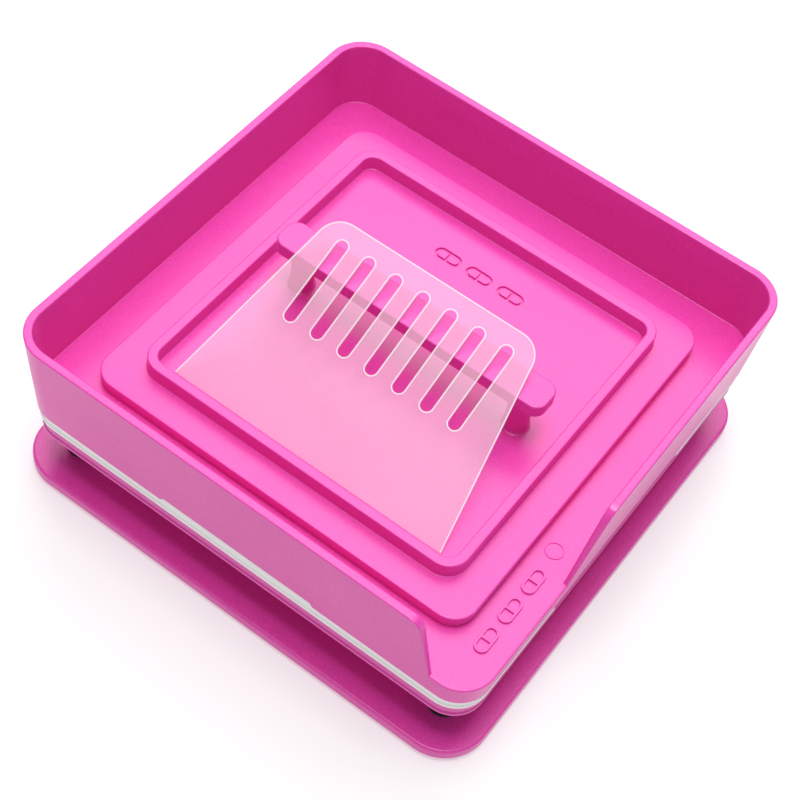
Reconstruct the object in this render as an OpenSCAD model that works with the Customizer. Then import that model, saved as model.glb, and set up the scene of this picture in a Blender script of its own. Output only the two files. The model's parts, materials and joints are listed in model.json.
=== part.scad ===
// Hand-operated capsule filler, stacked for storage: a sprung body plate on a base,
// a middle plate, a cap plate, an arranging tray, a tamper and a powder spreader card.
// +Z is up. The origin is the centre of the square the feet stand on. The front is -Y,
// and the tray's pouring gap is at its front right corner (+X, -Y).

/* [Base] */
// Side of the square base plate
base_side = 170; // [168:1:176]
// Thickness of the base plate
base_t = 4.2; // [3.8:0.2:5]
// Corner radius of the base plate
base_r = 15; // [13:1:18]
// How far the rubber feet stand out below the base
foot_h = 1.5; // [1:0.5:3]

/* [Capsules] */
// Holes along each side of the square grid
grid_n = 10; // [8:1:10]
// Distance between neighbouring holes
grid_pitch = 12.5; // [12:0.1:12.6]
// Length of a capsule body, from its closed end to its open rim
capsule_body_l = 18.6; // [18:0.1:19]
// Hole that a capsule body drops into
body_hole_d = 7.5; // [7.45:0.05:7.7]
// Hole that a capsule cap passes
cap_hole_d = 7.9; // [7.8:0.05:8.1]

/* [Plates] */
// Half the side of the middle plate
plate_half = 81.4; // [81.2:0.1:81.8]
// Half the side of the body plate's lip
lip_half = 80.9; // [80.5:0.1:81.2]
// Thickness of the body plate's lip
lip_t = 5.7; // [5:0.1:6]
// Underside of the body plate's lip, above the feet
lip_z = 21.8; // [21.4:0.1:22.2]
// Distance the body plate travels when it is pressed
press_travel = 8; // [6:0.5:8]
// Thickness of the middle plate
middle_t = 4.8; // [4.4:0.1:5]
// Thickness of the cap plate
cap_t = 5.2; // [4.8:0.1:5.2]

/* [Arranging tray] */
// Height of the tray from its skirt to its rim
tray_h = 33.5; // [32:0.5:36]
// Half the side of the tray at the skirt
tray_half_low = 81.8; // [81.5:0.1:82]
// Half the side of the tray at the rim
tray_half_top = 84.1; // [83.8:0.1:84.6]
// Width of the rim
rim_w = 2.7; // [2.5:0.1:3]
// Height of the tray floor above the skirt's edge
floor_up = 8.5; // [8.4:0.1:8.8]
// Thickness of the tray floor
floor_t = 3; // [2.6:0.1:3]

/* [Tamper] */
// Half the side of the tamper's slab
slab_half = 67.5; // [66:0.5:68]
// Thickness of each of the slab's two plates
slab_layer_t = 2.4; // [2.2:0.1:2.6]
// Half the side of the raised square rim, outside
frame_half = 57.55; // [57:0.05:58]
// Width of the raised rim
frame_w = 3.2; // [2.8:0.1:3.4]
// Height of the raised rim above the slab
frame_h = 5.4; // [5:0.1:6]
// Length of the tamping pins
pin_l = 7; // [6:0.5:7]
// Diameter of the tamping pins
pin_d = 6.6; // [6.2:0.1:6.8]

/* [Handle] */
// Length of the handle bar
bar_l = 98; // [92:1:99]
// Width of the handle bar
bar_w = 11.5; // [9:0.5:12]
// Thickness of the handle bar
bar_t = 4.8; // [4.2:0.2:5.2]
// Top of the handle bar above the slab
bar_up = 19.9; // [19.5:0.1:20.1]
// Distance of each handle post from the centre
post_x = 40.5; // [39:0.5:42]

/* [Spreader card] */
// Width of the card along its straight lower edge
card_w_low = 97.4; // [94:0.2:100]
// Width that the card's sides run to at its top
card_w_top = 75.5; // [74:0.5:80]
// Height of the card in its own plane
card_h = 66.8; // [66:0.2:69]
// Thickness of the card
card_t = 0.6; // [0.5:0.1:0.8]
// Number of slots
slot_n = 7; // [5:1:7]
// Distance between slots
slot_pitch = 10; // [9:0.5:10]

/* [Hidden] */

pink = [0.93, 0.36, 0.71];
deep_pink = [0.82, 0.26, 0.58];
white = [0.93, 0.92, 0.91];
steel = [0.72, 0.73, 0.75];
spring_steel = [0.12, 0.12, 0.13];
rubber = [0.1, 0.1, 0.1];
frosted = [1, 0.78, 0.9, 0.6];

// Corners, as signs of X and Y
front_left = [-1, -1];
front_right = [1, -1];
rear_left = [-1, 1];
rear_right = [1, 1];
corners = [front_left, front_right, rear_left, rear_right];

// Margin by which a cutter passes the face it cuts
cut = 0.5;
hole_fn = 32;
plate_fn = 96;

// Heights, from the feet up
base_z = foot_h;
base_top_z = base_z + base_t;
lip_top_z = lip_z + lip_t;
seat_z = lip_top_z - capsule_body_l;
block_z = seat_z + press_travel;
middle_z = lip_top_z;
tray_z = middle_z + middle_t;
cap_z = tray_z;
floor_z = tray_z + floor_up;
rim_z = tray_z + tray_h;
pin_plate_z = floor_z;
tamper_z = pin_plate_z + slab_layer_t;
slab_z = tamper_z + slab_layer_t;
bar_top_z = slab_z + bar_up;
bar_z = bar_top_z - bar_t;

// Base
base_bevel = 0.8;
seat_half = 63;
seat_r = 6;
foot_xy = 57;
foot_r = 6;
foot_recess = 0.7;
foot_chamfer = 0.5;

// Guide posts, screws and springs
post_xy = 69.5;
post_r = 2;
post_flange_r = 4;
post_flange_t = 1;
post_sunk = 0.2;
post_running_gap = 0.1;
boss_r = 3.8;
boss_stop_gap = 0.3;
boss_drop = lip_z - base_top_z - press_travel - boss_stop_gap;
boss_root = 1;
boss_z = lip_z - boss_drop;
boss_floor_t = 2;
post_top_z = boss_z + boss_floor_t;
screw_r = 1.25;
screw_l = 6;
screw_head_r = 2.6;
screw_head_t = 1.8;
screw_head_gap = 0.3;
screw_socket_r = 1;
screw_socket_d = 1;
screw_hole_gap = 0.2;
wire_d = 0.8;
spring_r = 4.6;
spring_turns = 8;
spring_closed_turns = 1;
spring_steps = 20;
wire_sides = 8;

// Plates
plate_r = 10.8;
lip_r = 10.4;
block_half = 62;
block_r = 6;
grid_first = -(grid_n - 1) * grid_pitch / 2;
countersink_h = 0.8;
countersink_grow = 0.6;
middle_countersink_h = 1.2;
reveal_t = 0.5;
reveal_in = 0.6;
pin_hole_r = 2.3;
locating_r = 2;
locating_xy = 74;
locating_depth = 4;
locating_tip = 0.6;
locating_top_z = cap_z + 2.2;
plate_notch_half = 34;
plate_notch_d = 1;
plate_notch_cutter = 10;

// Tray
tray_corner_xy = 71.1;
tray_r_low = tray_half_low - tray_corner_xy;
tray_r_top = tray_half_top - tray_corner_xy;
well_r_low = 9.7;
well_r_top = tray_r_top - rim_w;
skirt_wall = 2.4;
skirt_half = tray_half_low - skirt_wall;
skirt_r = 8.3;
funnel_h = 1.4;
funnel_grow = 1.5;
finger_half = 28;
finger_h = 1.4;
finger_slope = 1.2;
gap_right_low_y = -34;
gap_right_top_y = -21;
gap_front_low_x = 68;
gap_front_top_x = 62.5;
// Distance past every edge of the tray, for the cutters
beyond = 100;

// Cap plate
cap_half = 78.6;
cap_r = 7.5;
cap_seat_d = 7;
cap_seat_t = 1.2;

// Tamper
slab_r = 8;
slab_step = 0.35;
frame_r = 7.2;
pin_tip = 0.5;
handle_screw_r = 1.5;
handle_screw_l = 10;
handle_screw_head_r = 2.8;
handle_screw_head_t = 1.6;
handle_screw_end_gap = 1;
plate_screw_xy = 50;
plate_screw_r = 1.2;
plate_screw_l = 3;
plate_screw_head_r = 2.3;
plate_screw_head_t = 1.3;
plate_socket_r = 0.8;
plate_socket_d = 0.8;
bar_corner_r = 4;
post_r_low = 4;
post_r_top = 3.6;
post_into_bar = 1;

// Card
card_foot_x = 0.6;
card_foot_y = -51.5;
card_gap = 0.25;
card_tilt = atan((bar_top_z - slab_z) / (-bar_w / 2 - card_foot_y));
card_corner_r = 8;
arc_steps = 16;
slot_w = 4;
slot_low = 31.4;
slot_top = 61.2;

// Pictograms, in place of lettering
pill_l = 9.5;
pill_w = 4.6;
pill_line = 0.8;
pill_depth = 0.5;
pill_step = 12;
tray_pills = [73.9, -51];
tamper_pills = [0, 39.5];
gate_ring = [73, -26.5];
gate_ring_r = 3;
gate_ring_w = 0.6;
gate_ring_t = 0.3;

// ---- Shared shapes ----

// Square with round corners, centred on the origin
module round_square(half, r) {
  flat = 2 * (half - r);
  union() {
    square([2 * half, flat], center = true);
    square([flat, 2 * half], center = true);
    for (c = corners)
      translate(c * (half - r))
        circle(r = r, $fn = plate_fn);
  }
}

// Plate of a round-cornered square, from z up by t
module round_plate(half, r, z, t) {
  translate([0, 0, z])
    linear_extrude(height = t)
      round_square(half, r);
}

// Block with round corners whose sides lean: the corner centres stay at +-c, and the
// corner radius runs from r1 at z to r2 at z + h
module leaning_block(c, r1, r2, z, h) {
  side = [[-c - r1, 0], [c + r1, 0], [c + r2, h], [-c - r2, h]];
  translate([0, 0, z])
    union() {
      for (p = corners)
        translate([p[0] * c, p[1] * c, 0])
          cylinder(r1 = r1, r2 = r2, h = h, $fn = plate_fn);
      translate([0, c, 0])
        rotate([90, 0, 0])
          linear_extrude(height = 2 * c)
            polygon(side);
      translate([-c, 0, 0])
        rotate([90, 0, 90])
          linear_extrude(height = 2 * c)
            polygon(side);
    }
}

// Upright cylinder from z up by h
module upright(r, z, h) {
  translate([0, 0, z])
    cylinder(r = r, h = h, $fn = hole_fn);
}

// Upright cone from z up by h
module upright_cone(r1, r2, z, h) {
  translate([0, 0, z])
    cylinder(r1 = r1, r2 = r2, h = h, $fn = hole_fn);
}

// Children at every point of the capsule grid
module on_grid() {
  for (i = [0 : grid_n - 1], j = [0 : grid_n - 1])
    translate([grid_first + i * grid_pitch, grid_first + j * grid_pitch, 0])
      children();
}

// Children at the four corners (+-xy, +-xy)
module on_corners(xy) {
  for (c = corners)
    translate([c[0] * xy, c[1] * xy, 0])
      children();
}

// Children at the middle of each side, at distance d from the centre
module on_sides(d) {
  for (p = [[d, 0], [0, d], [-d, 0], [0, -d]])
    translate([p[0], p[1], 0])
      children();
}

// Outline of a capsule lying along X
module pill() {
  difference() {
    slot_shape(pill_l, pill_w);
    slot_shape(pill_l - 2 * pill_line, pill_w - 2 * pill_line);
  }
}

// Slot with round ends, l long and w wide, along X
module slot_shape(l, w) {
  union() {
    square([l - w, w], center = true);
    for (s = [-1, 1])
      translate([s * (l - w) / 2, 0])
        circle(r = w / 2, $fn = hole_fn);
  }
}

// Row of three capsule outlines along X, from z up by t
module pill_row(z, t) {
  translate([0, 0, z])
    linear_extrude(height = t)
      for (i = [-1 : 1])
        translate([i * pill_step, 0])
          pill();
}

// ---- Base ----

module base_plate() {
  c = base_side / 2 - base_r;
  color(deep_pink)
    difference() {
      union() {
        round_plate(base_side / 2, base_r, base_z, base_t - base_bevel);
        leaning_block(c, base_r, base_r - base_bevel, base_top_z - base_bevel, base_bevel);
        round_plate(seat_half, seat_r, base_top_z, seat_z - base_top_z);
      }
      on_corners(foot_xy)
        upright(foot_r, base_z - cut, cut + foot_recess);
      on_corners(post_xy)
        upright(post_flange_r, base_z - cut, cut + post_flange_t + post_sunk);
      on_corners(post_xy)
        upright(post_r, base_z, base_t + cut);
    }
}

module foot(corner) {
  color(rubber)
    translate([corner[0] * foot_xy, corner[1] * foot_xy, 0])
      union() {
        upright_cone(foot_r - foot_chamfer, foot_r, 0, foot_chamfer);
        upright(foot_r, foot_chamfer, foot_h + foot_recess - foot_chamfer);
      }
}

module guide_post(corner) {
  color(steel)
    translate([corner[0] * post_xy, corner[1] * post_xy, 0])
      difference() {
        union() {
          upright(post_flange_r, base_z + post_sunk, post_flange_t);
          upright(post_r, base_z + post_sunk, post_top_z - base_z - post_sunk);
        }
        upright(screw_r, post_top_z - screw_l, screw_l + cut);
      }
}

module post_screws() {
  color(steel)
    on_corners(post_xy)
      difference() {
        union() {
          upright(screw_r, post_top_z - screw_l, screw_l);
          upright(screw_head_r, post_top_z, screw_head_t);
        }
        upright(screw_socket_r, post_top_z + screw_head_t - screw_socket_d, screw_socket_d + cut);
      }
}

// Height of the wire's centre after t turns of a spring from z0 to z1
function coil_z(t, z0, z1) =
  let (
    closed = spring_closed_turns,
    open = spring_turns - 2 * closed,
    low = z0 + wire_d / 2,
    high = z1 - wire_d / 2,
    rise = wire_d * closed
  )
  t < closed ? low + wire_d * t
    : t > closed + open ? high - wire_d * (spring_turns - t)
    : low + rise + (high - low - 2 * rise) * (t - closed) / open;

// Round coil of wire standing on z0 and reaching to z1
module coil(z0, z1) {
  n = spring_turns * spring_steps;
  points = [
    for (i = [0 : n], k = [0 : wire_sides - 1])
      let (
        t = i / spring_steps,
        around = 360 * k / wire_sides,
        r = spring_r + wire_d / 2 * cos(around),
        z = coil_z(t, z0, z1) + wire_d / 2 * sin(around)
      )
      [r * cos(360 * t), r * sin(360 * t), z]
  ];
  sides = [
    for (i = [0 : n - 1], k = [0 : wire_sides - 1])
      let (
        a = i * wire_sides + k,
        b = i * wire_sides + (k + 1) % wire_sides
      )
      [a, b, b + wire_sides, a + wire_sides]
  ];
  start = [for (k = [wire_sides - 1 : -1 : 0]) k];
  end = [for (k = [0 : wire_sides - 1]) n * wire_sides + k];
  polyhedron(points = points, faces = concat([start], sides, [end]), convexity = 10);
}

module spring(corner) {
  color(spring_steel)
    translate([corner[0] * post_xy, corner[1] * post_xy, 0])
      coil(base_top_z, lip_z);
}

// ---- Plates with the capsule holes ----

module body_plate() {
  color(deep_pink)
    difference() {
      union() {
        round_plate(lip_half, lip_r, lip_z, lip_t - reveal_t);
        round_plate(lip_half - reveal_in, lip_r - reveal_in, lip_z, lip_t);
        round_plate(block_half, block_r, block_z, lip_top_z - block_z);
        on_corners(post_xy)
          upright(boss_r, boss_z, boss_drop + boss_root);
      }
      on_grid() {
        upright(body_hole_d / 2, block_z - cut, lip_top_z - block_z + 2 * cut);
        upright_cone(
          body_hole_d / 2, body_hole_d / 2 + countersink_grow,
          lip_top_z - countersink_h, countersink_h
        );
      }
      on_corners(post_xy) {
        upright(post_r + post_running_gap, boss_z - cut, boss_floor_t + 2 * cut);
        upright(screw_head_r + screw_head_gap, post_top_z, lip_top_z - post_top_z + cut);
      }
      on_sides(locating_xy)
        upright(locating_r, lip_top_z - locating_depth, locating_depth + cut);
    }
}

module locating_pins() {
  straight = locating_top_z - locating_tip;
  color(steel)
    on_sides(locating_xy)
      union() {
        upright(locating_r, lip_top_z - locating_depth, straight - lip_top_z + locating_depth);
        upright_cone(locating_r, locating_r - locating_tip, straight, locating_tip);
      }
}

module middle_plate() {
  color(white)
    difference() {
      round_plate(plate_half, plate_r, middle_z, middle_t);
      on_grid() {
        upright(body_hole_d / 2, middle_z - cut, middle_t + 2 * cut);
        upright_cone(
          body_hole_d / 2, cap_hole_d / 2 + countersink_grow,
          middle_z + middle_t - middle_countersink_h, middle_countersink_h
        );
      }
      on_sides(locating_xy)
        upright(pin_hole_r, middle_z - cut, middle_t + 2 * cut);
      for (s = [-1, 1])
        translate([s * (plate_half + plate_notch_cutter / 2 - plate_notch_d), 0, middle_z + middle_t / 2])
          cube([plate_notch_cutter, 2 * plate_notch_half, middle_t + 2 * cut], center = true);
    }
}

module cap_plate() {
  color(deep_pink)
    difference() {
      round_plate(cap_half, cap_r, cap_z, cap_t);
      on_grid() {
        upright(cap_seat_d / 2, cap_z - cut, cap_t + 2 * cut);
        upright(cap_hole_d / 2, cap_z + cap_seat_t, cap_t);
        upright_cone(
          cap_hole_d / 2, cap_hole_d / 2 + countersink_grow,
          cap_z + cap_t - countersink_h, countersink_h
        );
      }
      on_sides(locating_xy)
        upright(pin_hole_r, cap_z - cut, cap_t + 2 * cut);
    }
}

// ---- Arranging tray ----

// Part of the walls that is open at the front right corner
module pouring_gap() {
  high = rim_z + cut;
  right_lean = (gap_right_top_y - gap_right_low_y) / (rim_z - floor_z);
  front_lean = (gap_front_top_x - gap_front_low_x) / (rim_z - floor_z);
  right_high_y = gap_right_low_y + right_lean * (high - floor_z);
  front_high_x = gap_front_low_x + front_lean * (high - floor_z);
  intersection() {
    rotate([90, 0, 90])
      linear_extrude(height = beyond)
        polygon([
          [-beyond, floor_z], [gap_right_low_y, floor_z],
          [right_high_y, high], [-beyond, high]
        ]);
    rotate([90, 0, 0])
      linear_extrude(height = beyond)
        polygon([
          [gap_front_low_x, floor_z], [beyond, floor_z],
          [beyond, high], [front_high_x, high]
        ]);
  }
}

// Shallow finger notch in the front and rear edges of the skirt
module finger_notches() {
  half = finger_half;
  top = half - finger_slope;
  translate([0, beyond, tray_z])
    rotate([90, 0, 0])
      linear_extrude(height = 2 * beyond)
        polygon([[-half, 0], [half, 0], [top, finger_h], [-top, finger_h]]);
}

module arranging_tray() {
  color(pink)
    union() {
      difference() {
        leaning_block(tray_corner_xy, tray_r_low, tray_r_top, tray_z, tray_h);
        leaning_block(tray_corner_xy, well_r_low, well_r_top, floor_z, rim_z - floor_z);
        round_plate(skirt_half, skirt_r, tray_z, floor_up - floor_t);
        pouring_gap();
        finger_notches();
        on_grid() {
          upright(cap_hole_d / 2, floor_z - floor_t - cut, floor_t + 2 * cut);
          upright_cone(
            cap_hole_d / 2, cap_hole_d / 2 + funnel_grow,
            floor_z - funnel_h, funnel_h
          );
        }
      }
      translate([tray_pills[0], tray_pills[1], 0])
        rotate([0, 0, 90])
          pill_row(floor_z, pill_depth);
      translate([gate_ring[0], gate_ring[1], floor_z])
        linear_extrude(height = gate_ring_t)
          difference() {
            circle(r = gate_ring_r, $fn = hole_fn);
            circle(r = gate_ring_r - gate_ring_w, $fn = hole_fn);
          }
    }
}

// ---- Tamper ----

module tamper_plate() {
  color(pink)
    difference() {
      union() {
        round_plate(slab_half, slab_r, tamper_z, slab_layer_t);
        difference() {
          round_plate(frame_half, frame_r, slab_z, frame_h);
          round_plate(frame_half - frame_w, frame_r - frame_w, slab_z, frame_h + cut);
        }
      }
      for (s = [-1, 1])
        translate([s * post_x, 0, 0]) {
          upright(handle_screw_r + screw_hole_gap, tamper_z - cut, slab_layer_t + 2 * cut);
          upright(handle_screw_head_r + screw_hole_gap, tamper_z - cut, cut + handle_screw_head_t);
        }
      on_corners(plate_screw_xy)
        upright(plate_screw_r, tamper_z - cut, cut + plate_screw_l + plate_screw_head_t - slab_layer_t);
      translate([tamper_pills[0], tamper_pills[1], 0])
        pill_row(slab_z - pill_depth, pill_depth + cut);
    }
}

module pin_plate() {
  color(pink)
    difference() {
      union() {
        round_plate(slab_half - slab_step, slab_r - slab_step, pin_plate_z, slab_layer_t);
        on_grid() {
          upright(pin_d / 2, pin_plate_z - pin_l + pin_tip, pin_l);
          upright_cone(pin_d / 2 - pin_tip, pin_d / 2, pin_plate_z - pin_l, pin_tip);
        }
      }
      on_corners(plate_screw_xy) {
        upright(plate_screw_r + screw_hole_gap, pin_plate_z - cut, slab_layer_t + 2 * cut);
        upright(plate_screw_head_r + screw_hole_gap, pin_plate_z - cut, cut + plate_screw_head_t);
      }
    }
}

module pin_plate_screws() {
  color(steel)
    on_corners(plate_screw_xy)
      difference() {
        union() {
          upright(plate_screw_head_r, pin_plate_z, plate_screw_head_t);
          upright(plate_screw_r, pin_plate_z, plate_screw_head_t + plate_screw_l);
        }
        upright(plate_socket_r, pin_plate_z - cut, cut + plate_socket_d);
      }
}

// The bar seen from above: a rectangle with round corners
module bar_shape() {
  union() {
    square([bar_l, bar_w - 2 * bar_corner_r], center = true);
    square([bar_l - 2 * bar_corner_r, bar_w], center = true);
    for (c = corners)
      translate([c[0] * (bar_l / 2 - bar_corner_r), c[1] * (bar_w / 2 - bar_corner_r)])
        circle(r = bar_corner_r, $fn = hole_fn);
  }
}

module handle() {
  color(pink)
    difference() {
      union() {
        translate([0, 0, bar_z])
          linear_extrude(height = bar_t)
            bar_shape();
        for (s = [-1, 1])
          translate([s * post_x, 0, 0])
            upright_cone(post_r_low, post_r_top, slab_z, bar_z - slab_z + post_into_bar);
      }
      for (s = [-1, 1])
        translate([s * post_x, 0, 0])
          upright(handle_screw_r, slab_z - cut, cut + handle_screw_l);
    }
}

module handle_screws() {
  shank = slab_z - tamper_z + handle_screw_l - handle_screw_end_gap;
  color(steel)
    for (s = [-1, 1])
      translate([s * post_x, 0, 0])
        difference() {
          union() {
            upright(handle_screw_head_r, tamper_z, handle_screw_head_t);
            upright(handle_screw_r, tamper_z, shank);
          }
          upright(screw_socket_r, tamper_z - cut, cut + screw_socket_d);
        }
}

// ---- Spreader card ----

// Points on an arc of radius r about c, from angle a0 to a1
function arc(c, r, a0, a1) = [
  for (i = [0 : arc_steps])
    let (a = a0 + (a1 - a0) * i / arc_steps)
    [c[0] + r * cos(a), c[1] + r * sin(a)]
];

// The card's outline in its own plane, its lower edge on the X axis
module card_outline() {
  low = card_w_low / 2;
  top = card_w_top / 2;
  lean = atan((low - top) / card_h);
  cy = card_h - card_corner_r;
  cx = low - (card_corner_r + sin(lean) * cy) / cos(lean);
  polygon(concat(
    [[-low, 0], [low, 0]],
    arc([cx, cy], card_corner_r, lean, 90),
    arc([-cx, cy], card_corner_r, 90, 180 - lean)
  ));
}

module spreader_card() {
  slot_l = slot_top - slot_low;
  color(frosted)
    translate([card_foot_x, card_foot_y, slab_z + card_gap])
      rotate([card_tilt, 0, 0])
        linear_extrude(height = card_t)
          difference() {
            card_outline();
            for (i = [0 : slot_n - 1])
              translate([(i - (slot_n - 1) / 2) * slot_pitch, slot_low + slot_l / 2])
                rotate(90)
                  slot_shape(slot_l, slot_w);
          }
}

base_plate();
foot(front_left);  // foot_front_left
foot(front_right);  // foot_front_right
foot(rear_left);  // foot_rear_left
foot(rear_right);  // foot_rear_right
guide_post(front_left);  // guide_post_front_left
guide_post(front_right);  // guide_post_front_right
guide_post(rear_left);  // guide_post_rear_left
guide_post(rear_right);  // guide_post_rear_right
spring(front_left);  // spring_front_left
spring(front_right);  // spring_front_right
spring(rear_left);  // spring_rear_left
spring(rear_right);  // spring_rear_right
post_screws();
body_plate();
locating_pins();
middle_plate();
cap_plate();
arranging_tray();
tamper_plate();
pin_plate();
pin_plate_screws();
handle();
handle_screws();
spreader_card();
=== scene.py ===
import json
import math

import bpy
from mathutils import Matrix, Vector
from mathutils.geometry import delaunay_2d_cdt


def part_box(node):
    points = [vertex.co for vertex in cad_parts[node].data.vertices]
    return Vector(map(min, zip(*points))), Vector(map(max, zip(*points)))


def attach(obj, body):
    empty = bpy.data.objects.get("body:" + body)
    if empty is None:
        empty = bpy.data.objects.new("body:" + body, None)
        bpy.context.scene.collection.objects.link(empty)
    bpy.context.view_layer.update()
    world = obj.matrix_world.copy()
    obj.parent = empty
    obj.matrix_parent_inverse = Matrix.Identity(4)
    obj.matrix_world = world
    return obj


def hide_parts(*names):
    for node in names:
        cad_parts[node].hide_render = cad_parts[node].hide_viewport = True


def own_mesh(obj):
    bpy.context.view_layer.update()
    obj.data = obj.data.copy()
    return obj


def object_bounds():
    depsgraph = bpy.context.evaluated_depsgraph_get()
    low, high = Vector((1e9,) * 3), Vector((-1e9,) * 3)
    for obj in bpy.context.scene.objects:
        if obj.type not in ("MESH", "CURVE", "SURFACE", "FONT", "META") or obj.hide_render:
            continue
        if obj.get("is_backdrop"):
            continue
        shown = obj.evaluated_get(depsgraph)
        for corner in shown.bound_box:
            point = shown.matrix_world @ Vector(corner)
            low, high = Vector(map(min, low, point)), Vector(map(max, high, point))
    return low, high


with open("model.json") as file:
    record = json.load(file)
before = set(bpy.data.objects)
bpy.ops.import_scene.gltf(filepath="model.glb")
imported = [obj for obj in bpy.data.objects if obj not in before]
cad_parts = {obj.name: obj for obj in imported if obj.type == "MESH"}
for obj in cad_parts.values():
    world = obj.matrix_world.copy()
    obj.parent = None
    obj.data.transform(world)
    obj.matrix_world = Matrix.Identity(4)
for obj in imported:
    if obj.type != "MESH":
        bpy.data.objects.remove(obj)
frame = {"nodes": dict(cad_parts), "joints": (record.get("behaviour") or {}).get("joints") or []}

# The looks of a hand-operated capsule filler: moulded plates, tray, tamper and card.
# Lengths are in millimetres until a piece is made, and then in metres.
MM = 0.001
CAD_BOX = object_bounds()

# Capsule grid
GRID_N = 10
GRID_PITCH = 12.5

# How finely circles and corners are divided
HOLE_STEPS = 32
PIN_STEPS = 24
CORNER_STEPS = 16

# Heights that several pieces share, above the plane of the feet
BASE_TOP = 5.7
BLOCK_UNDER = 16.9
LIP_UNDER = 21.8
TRAY_UNDER = 37.8
TRAY_FLOOR = 40.8
SLAB_TOP = 45.6
BAR_UNDER = 60.7

# Radii of the holes in the plates, and how far the locating pins' holes are from the middle
CAPSULE_BODY_R = 3.75
CAPSULE_CAP_R = 3.95
LOCATING_HOLE_R = 2.3
LOCATING_REACH = 74


def extent(node):
    """Lowest and highest corner of a CAD node, in millimetres."""
    low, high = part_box(node)
    return low / MM, high / MM


# ---- Outlines and sections ----


def square_outline(half, core, z, stops=()):
    """A round-cornered square, seen from above, anticlockwise from its front left.

    Its corner centres are at +-core, and stops are extra points along each side."""
    radius = half - core
    front = [(x, -half) for x in [-core, *stops, core]]
    for i in range(1, CORNER_STEPS):
        a = math.pi / 2 * i / CORNER_STEPS
        front.append((core + radius * math.sin(a), -core - radius * math.cos(a)))
    outline = list(front)
    for _ in range(3):
        front = [(-y, x) for x, y in front]
        outline += front
    return [(x, y, z) for x, y in outline]


def circle_outline(x, y, radius, z, steps=HOLE_STEPS):
    """A circle, seen from above, anticlockwise."""
    turns = [2 * math.pi * i / steps for i in range(steps)]
    return [(x + radius * math.cos(a), y + radius * math.sin(a), z) for a in turns]


def pill_outline(centre, length, width, z, upright=False, steps=12):
    """A slot shape with round ends, along X, or along Y if it is upright."""
    reach = (length - width) / 2
    outline = []
    for side in (1, -1):
        for i in range(steps + 1):
            a = math.pi * (i / steps - 0.5)
            x = side * (reach + width / 2 * math.cos(a))
            y = side * width / 2 * math.sin(a)
            outline.append((-y, x) if upright else (x, y))
    return [(centre[0] + x, centre[1] + y, z) for x, y in outline]


def half_pill_outline(centre, length, width, side, gap, z, upright=False, steps=12):
    """The half of a slot shape on one side (1 or -1) of a gap across its middle."""
    reach = (length - width) / 2
    outline = [(gap / 2, width / 2), (gap / 2, -width / 2)]
    for i in range(steps + 1):
        a = math.pi * (i / steps - 0.5)
        outline.append((reach + width / 2 * math.cos(a), width / 2 * math.sin(a)))
    outline = [(side * x, side * y) for x, y in outline]
    if upright:
        outline = [(-y, x) for x, y in outline]
    return [(centre[0] + x, centre[1] + y, z) for x, y in outline]


def rounded(corners, steps=4):
    """Points along a line of (distance, height, radius) corners, each rounded by its radius."""
    line = []
    for i, (d, z, radius) in enumerate(corners):
        if not radius or i in (0, len(corners) - 1):
            line.append((d, z))
            continue
        corner = Vector((d, z))
        back = (Vector(corners[i - 1][:2]) - corner).normalized()
        ahead = (Vector(corners[i + 1][:2]) - corner).normalized()
        half = back.angle(ahead) / 2
        centre = corner + (back + ahead).normalized() * (radius / math.sin(half))
        start = corner + back * (radius / math.tan(half)) - centre
        end = corner + ahead * (radius / math.tan(half)) - centre
        turn = start.angle(end)
        for k in range(steps + 1):
            share = k / steps
            mixed = start * math.sin((1 - share) * turn) + end * math.sin(share * turn)
            line.append(tuple(centre + mixed / math.sin(turn)))
    return line


def inset(outline, depth):
    """A flat outline moved inwards by depth. It runs anticlockwise."""
    moved = []
    for i, (x, y) in enumerate(outline):
        before = Vector((x, y)) - Vector(outline[i - 1])
        after = Vector(outline[(i + 1) % len(outline)]) - Vector((x, y))
        n1 = Vector((-before.y, before.x)).normalized()
        n2 = Vector((-after.y, after.x)).normalized()
        step = (n1 + n2) / (1 + n1.dot(n2)) * depth
        moved.append((x + step.x, y + step.y))
    return moved


def grid_centres():
    """Centres of the capsule holes."""
    first = -(GRID_N - 1) * GRID_PITCH / 2
    places = [first + i * GRID_PITCH for i in range(GRID_N)]
    return [(x, y) for x in places for y in places]


def post_reach():
    """How far the guide posts are from the middle, along X and Y."""
    low, high = extent("guide_post_rear_right")
    return (low.x + high.x) / 2


def corner_centres(reach):
    """The four points at +-reach."""
    return [(x * reach, y * reach) for x in (-1, 1) for y in (-1, 1)]


# ---- Mesh building ----


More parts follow.
